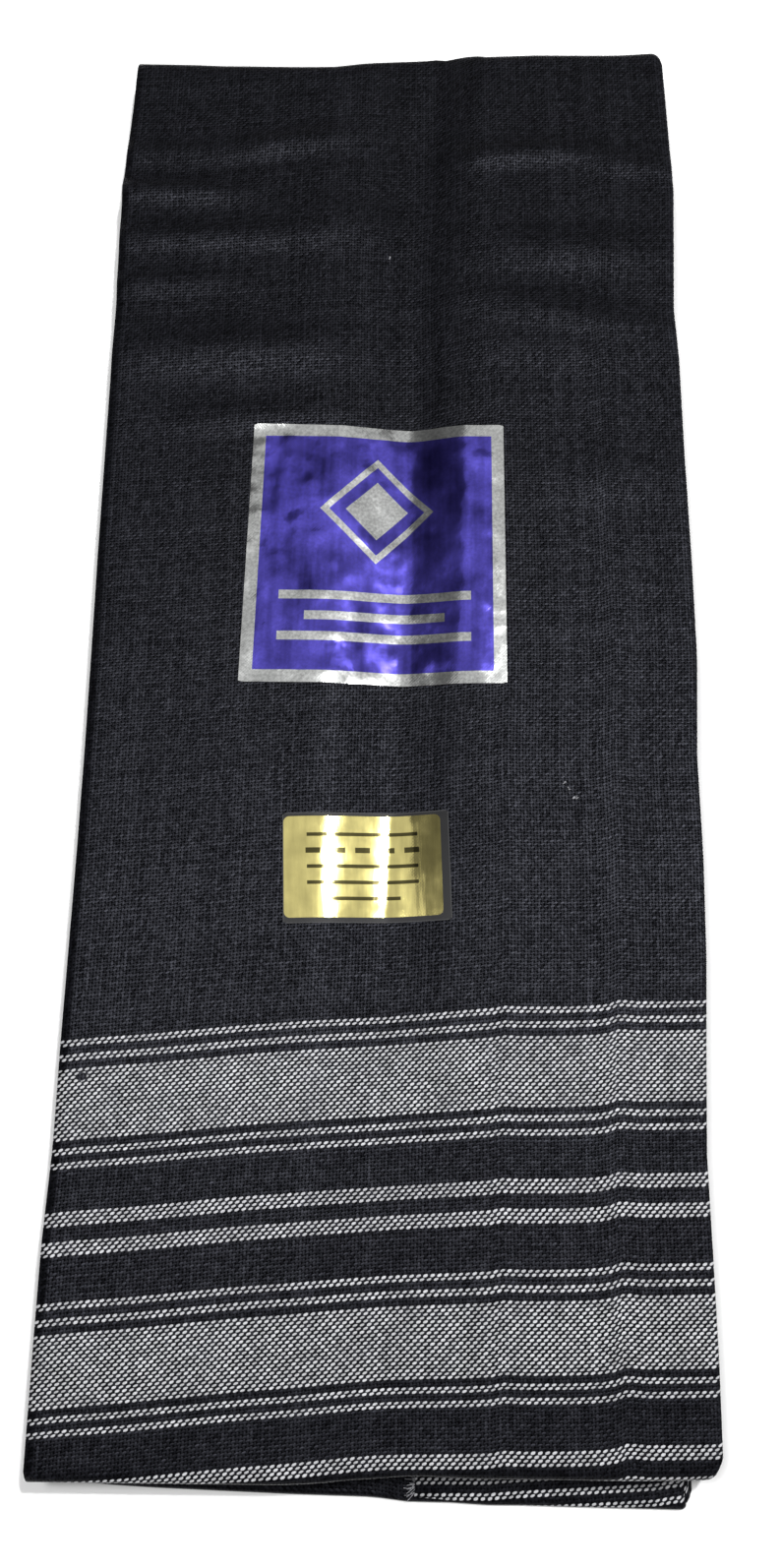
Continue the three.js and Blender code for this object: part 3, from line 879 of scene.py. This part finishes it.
# Fibre ends: a frayed corner of the inner selvedge, and lint on the front panel.
frayedCorner = {
    "shares": (0.9925, 0.994, 0.9955, 0.997, 0.9985, 1.0),    # of the lowest fold's upper layer
    "aim": (-0.8, -0.1, 0.12), "ends": 3, "length": 3.2, "thickness": 0.2, "curl": 2.2, "scatter": 0.8,
    "seed": 7, "color": (0.3, 0.3, 0.32),
}
lint = {
    "places": ((-2.5, 161.4), (56.8, -39.9), (58.7, -41.8), (59.9, -44.8), (61.0, -44.9)),
    "lift": 0.1,
    "aim": (0.5, 0.7, 0.1), "ends": 3, "length": 1.3, "thickness": 0.34, "curl": 0.8, "scatter": 0.7,
    "seed": 11, "color": (0.3, 0.3, 0.32),
}
# of every fibre
fibre = {
    "points": 7, "sides": 5,
    "lengths": (0.4, 1.0),                # shares of the length above
    "scatterLow": (-1, -1, 0), "scatterHigh": (1, 1, 0.4),
    "wanderScale": 350.0, "wanderMiddle": (0.5, 0.5, 0.42),
    "toneScale": 900.0, "tones": (0.5, 1.2), "roughness": (0.75, 0.95), "specular": 0.2,
}


# Each root grows a few ends along its aim, which curl more and more towards their tips.
def makeFibreTree():
    tree = bpy.data.node_groups.new("fibreEnds", "GeometryNodeTree")
    sockets = tree.interface
    sockets.new_socket("Geometry", in_out="INPUT", socket_type="NodeSocketGeometry")
    for name in ("Ends", "Seed"):
        sockets.new_socket(name, in_out="INPUT", socket_type="NodeSocketInt")
    for name in ("Length", "Thickness", "Curl", "Scatter"):
        sockets.new_socket(name, in_out="INPUT", socket_type="NodeSocketFloat")
    sockets.new_socket("Material", in_out="INPUT", socket_type="NodeSocketMaterial")
    sockets.new_socket("Geometry", in_out="OUTPUT", socket_type="NodeSocketGeometry")
    nodes = Nodes(tree)
    given = nodes.add("NodeGroupInput").outputs

    def chance(kind, first, low, high):
        node = nodes.add("FunctionNodeRandomValue", data_type=kind)
        nodes.put(low, node.inputs[first])
        nodes.put(high, node.inputs[first + 1])
        nodes.put(given["Seed"], node.inputs["Seed"])
        return node.outputs[first // 2]

    roots = nodes.add("GeometryNodeDuplicateElements", given["Geometry"], None, given["Ends"], domain="POINT")
    aim = nodes.add("GeometryNodeInputNamedAttribute", "aim", data_type="FLOAT_VECTOR").outputs[0]
    scatter = chance("FLOAT_VECTOR", 0, fibre["scatterLow"], fibre["scatterHigh"])
    sideways = nodes.scaled(scatter, given["Scatter"])
    turned = nodes.add("FunctionNodeAlignRotationToVector", None, None,
                       nodes.add("ShaderNodeVectorMath", aim, sideways, operation="ADD").outputs[0], axis="Z")
    line = nodes.add("GeometryNodeCurvePrimitiveLine", (0, 0, 0), (0, 0, 1), mode="POINTS")
    line = nodes.add("GeometryNodeResampleCurve", line.outputs[0], None, fibre["points"], mode="COUNT")
    size = nodes.math("MULTIPLY", chance("FLOAT", 2, *fibre["lengths"]), given["Length"])
    ends = nodes.add("GeometryNodeInstanceOnPoints", roots.outputs[0], None, line.outputs[0])
    nodes.put(turned.outputs[0], ends.inputs["Rotation"])
    nodes.put(size, ends.inputs["Scale"])
    ends = nodes.add("GeometryNodeRealizeInstances", ends.outputs[0])
    place = nodes.add("GeometryNodeInputPosition").outputs[0]
    wander = nodes.add("ShaderNodeTexNoise", place, given["Seed"], fibre["wanderScale"], 1.0,
                       noise_dimensions="4D").outputs["Color"]
    wander = nodes.add("ShaderNodeVectorMath", wander, fibre["wanderMiddle"], operation="SUBTRACT").outputs[0]
    bend = nodes.math("MULTIPLY", nodes.add("GeometryNodeSplineParameter").outputs["Factor"], given["Curl"])
    ends = nodes.add("GeometryNodeSetPosition", ends.outputs[0], None, None, nodes.scaled(wander, bend))
    ring = nodes.add("GeometryNodeCurvePrimitiveCircle", fibre["sides"], mode="RADIUS")
    nodes.put(nodes.math("MULTIPLY", given["Thickness"], 0.5), ring.inputs["Radius"])
    ends = nodes.add("GeometryNodeCurveToMesh", ends.outputs[0], ring.outputs[0])
    ends.inputs["Fill Caps"].default_value = True
    ends = nodes.add("GeometryNodeRealizeInstances", ends.outputs[0])
    ends = nodes.add("GeometryNodeSetMaterial", ends.outputs[0], None, given["Material"])
    nodes.add("NodeGroupOutput", ends.outputs[0])
    return tree


def makeFibreMaterial(name, color):
    material, nodes, shader = newMaterial(name)
    place = nodes.add("ShaderNodeTexCoord").outputs["Object"]
    uneven = nodes.add("ShaderNodeTexNoise", place, None, fibre["toneScale"], 2.0).outputs[0]
    tone = nodes.rescale(uneven, noiseSpan, fibre["tones"])
    nodes.put(nodes.scaled(color, tone), shader.inputs["Base Color"])
    nodes.put(nodes.rescale(uneven, noiseSpan, fibre["roughness"]), shader.inputs["Roughness"])
    shader.inputs["Specular IOR Level"].default_value = fibre["specular"]
    return material


def makeFibres(name, tree, points, values):
    mesh = bpy.data.meshes.new(name + "Roots")
    mesh.from_pydata(toPart(np.array(points)).tolist(), [], [])
    aim = mesh.attributes.new("aim", "FLOAT_VECTOR", "POINT")
    aim.data.foreach_set("vector", np.tile(values["aim"], len(points)))
    roots = addObject(name + "Roots", mesh)
    grow = roots.modifiers.new("grow", "NODES")
    grow.node_group = tree
    sizes = {
        "Ends": values["ends"], "Seed": values["seed"], "Length": values["length"] * mm,
        "Thickness": values["thickness"] * mm, "Curl": values["curl"] * mm, "Scatter": values["scatter"],
        "Material": makeFibreMaterial(name, values["color"]),
    }
    for socket in tree.interface.items_tree:
        if socket.in_out == "INPUT" and socket.name in sizes:
            grow[socket.identifier] = sizes[socket.name]
    grown = roots.evaluated_get(bpy.context.evaluated_depsgraph_get())
    piece = addObject(name, bpy.data.meshes.new_from_object(grown))
    roots.modifiers.remove(grow)
    bpy.data.objects.remove(roots)
    return piece


fibreTree = makeFibreTree()
cornerRoots = [clothRow(makeWidthPath(), lowestFold, share, 0.0, 1)[-1] for share in frayedCorner["shares"]]
looseEnds = makeFibres("looseEnds", fibreTree, cornerRoots, frayedCorner)
lintRoots = [(x, y, layerBase(cloth["frontPanel"], x, y) + wallAt(x, y) + lint["lift"])
             for x, y in lint["places"]]
lintSpecks = makeFibres("lintSpecks", fibreTree, lintRoots, lint)
print("fibres grown:", len(looseEnds.data.polygons), "and", len(lintSpecks.data.polygons), "faces")


studio = {
    "floorHalf": 4.0,
    "floorColor": (0.94, 0.94, 0.94, 1),
    "floorRoughness": 0.9,
    "lights": [
        # name, place, size, watts
        ("rightLamp", (0.32, 0.29, 1.5), 0.08, 16.2),
        ("leftLamp", (-0.38, 0.05, 1.5), 0.3, 11.6),
        ("ceiling", (0.28, 0.26, 1.7), 1.8, 3.8),
    ],
    "aim": (0.0, 0.0, 0.0),
    "ambient": (0.1, 0.3),       # from the left and from the right
    "ambientSpan": (-0.6, 0.6),  # directions in which it changes
}


def makeFloor(values):
    half = values["floorHalf"]
    mesh = bpy.data.meshes.new("paleFloor")
    corners = [(-half, -half, 0), (half, -half, 0), (half, half, 0), (-half, half, 0)]
    mesh.from_pydata(corners, [], [(0, 1, 2, 3)])
    material, _, shader = newMaterial("paleFloor")
    shader.inputs["Base Color"].default_value = values["floorColor"]
    shader.inputs["Roughness"].default_value = values["floorRoughness"]
    mesh.materials.append(material)
    return addObject("paleFloor", mesh)


def makeLights(values):
    for name, place, size, watts in values["lights"]:
        data = bpy.data.lights.new(name, "AREA")
        data.shape = "DISK"
        data.size = size
        data.energy = watts
        lamp = addObject(name, data)
        lamp.location = place
        towards = Vector(values["aim"]) - Vector(place)
        lamp.rotation_euler = towards.to_track_quat("-Z", "Y").to_euler()
    world = bpy.data.worlds.new("studio")
    bpy.context.scene.world = world
    world.use_nodes = True
    background = world.node_tree.nodes["Background"]
    background.inputs[0].default_value = (1, 1, 1, 1)
    nodes = Nodes(world.node_tree)
    direction = nodes.add("ShaderNodeSeparateXYZ", nodes.add("ShaderNodeTexCoord").outputs["Generated"])
    strength = nodes.rescale(direction.outputs[0], values["ambientSpan"], values["ambient"])
    nodes.put(strength, background.inputs[1])


floor = makeFloor(studio)
makeLights(studio)
bpy.context.scene.view_settings.view_transform = "Standard"
print("lights set")

for piece, slot, node in (
    (turbanCloth, "cloth", "turban_cloth"),
    (foil, "purple_foil", "foil_sticker"),
    (gold, "gold_foil", "gold_sticker"),
):
    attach(piece, "root")
    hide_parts(node)
for piece in (looseEnds, lintSpecks):
    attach(piece, "root")
